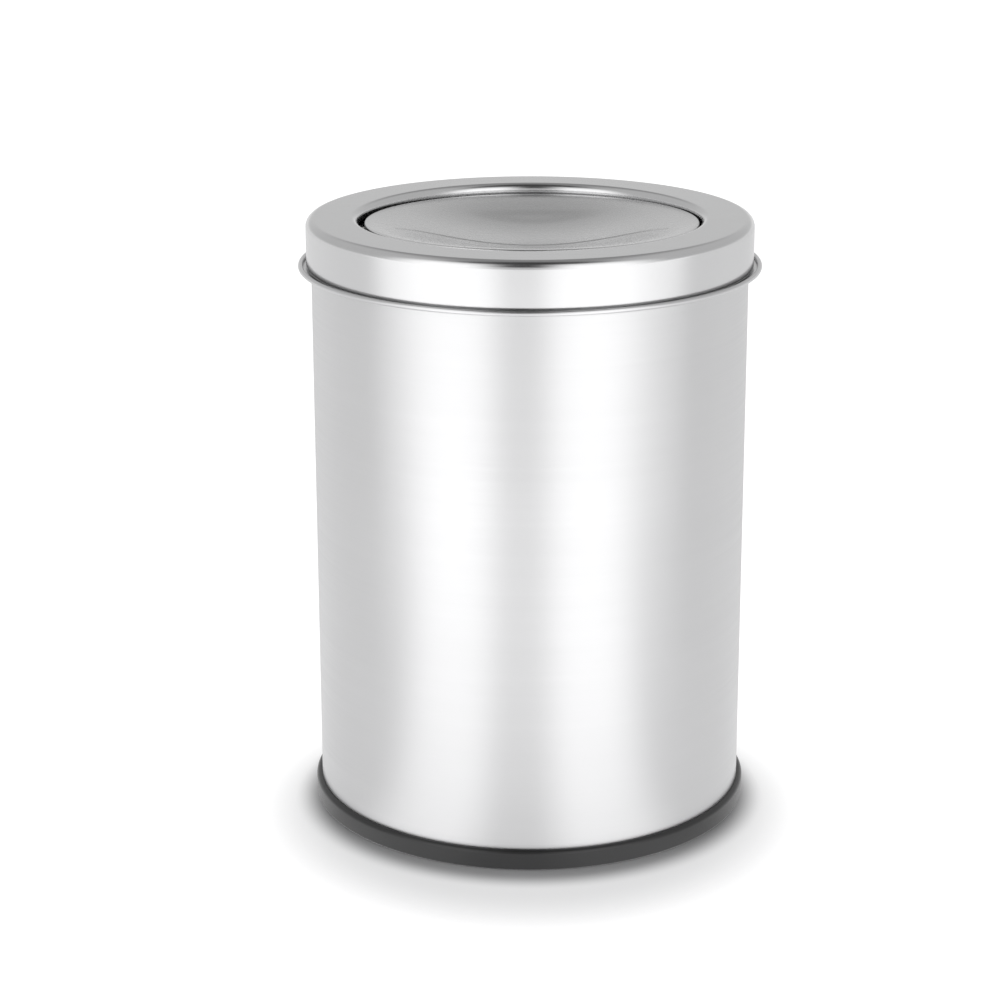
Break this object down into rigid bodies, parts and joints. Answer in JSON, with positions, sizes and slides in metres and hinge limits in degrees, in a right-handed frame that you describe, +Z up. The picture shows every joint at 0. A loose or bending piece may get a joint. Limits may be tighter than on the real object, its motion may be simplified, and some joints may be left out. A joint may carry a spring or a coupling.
{
  "type": "countertop trash can with swing lid",
  "caption": "Round steel countertop waste bin with a dark base ring, a lift-off pressed lid ring and a dished, counterbalanced flap that swings in its mouth.",
  "frame": {"origin": "centre of the underside of the base ring, on the surface the can stands on", "axes": "+Z up, -Y to the front, +X to the right as seen from the front; the flap's pivot line runs along X"},
  "size_m": [0.1908, 0.1908, 0.251],
  "materials": {
    "body_steel": "bright polished stainless sheet",
    "lid_steel": "bright polished stainless, pressed",
    "flap_steel": "bright polished stainless, pressed",
    "plate_steel": "mill finish",
    "base_plastic": "satin moulded",
    "bracket_steel": "mill finish",
    "bush_nylon": "natural nylon",
    "pin_steel": "turned",
    "clip_steel": "blued spring steel",
    "weight_steel": "zinc plated",
    "fastener_steel": "zinc plated"
  },
  "bodies": {
    "bin": {"body_shell": "body_steel", "bottom_plate": "plate_steel", "base_ring": "base_plastic"},
    "lid": {"lid_shell": "lid_steel", "pivot_bracket_left": "bracket_steel", "pivot_bracket_right": "bracket_steel", "pivot_bush_left": "bush_nylon", "pivot_bush_right": "bush_nylon"},
    "flap": {"flap_disc": "flap_steel", "flap_doubler_left": "bracket_steel", "flap_doubler_right": "bracket_steel", "pivot_pin_left": "pin_steel", "pivot_pin_right": "pin_steel", "pivot_washer_left": "bush_nylon", "pivot_washer_right": "bush_nylon", "pivot_clip_left": "clip_steel", "pivot_clip_right": "clip_steel", "weight_stud": "fastener_steel", "counterweight": "weight_steel", "weight_washer": "fastener_steel", "weight_nut": "fastener_steel"}
  },
  "joints": [
    {"name": "lid_lift", "type": "slide", "parent": "bin", "child": "lid", "axis": [0, 0, 1], "range_m": [0, 0.08]},
    {"name": "flap_swing", "type": "hinge", "parent": "lid", "child": "flap", "pos_m": [0, 0, 0.242], "axis": [1, 0, 0], "continuous": true}
  ]
}
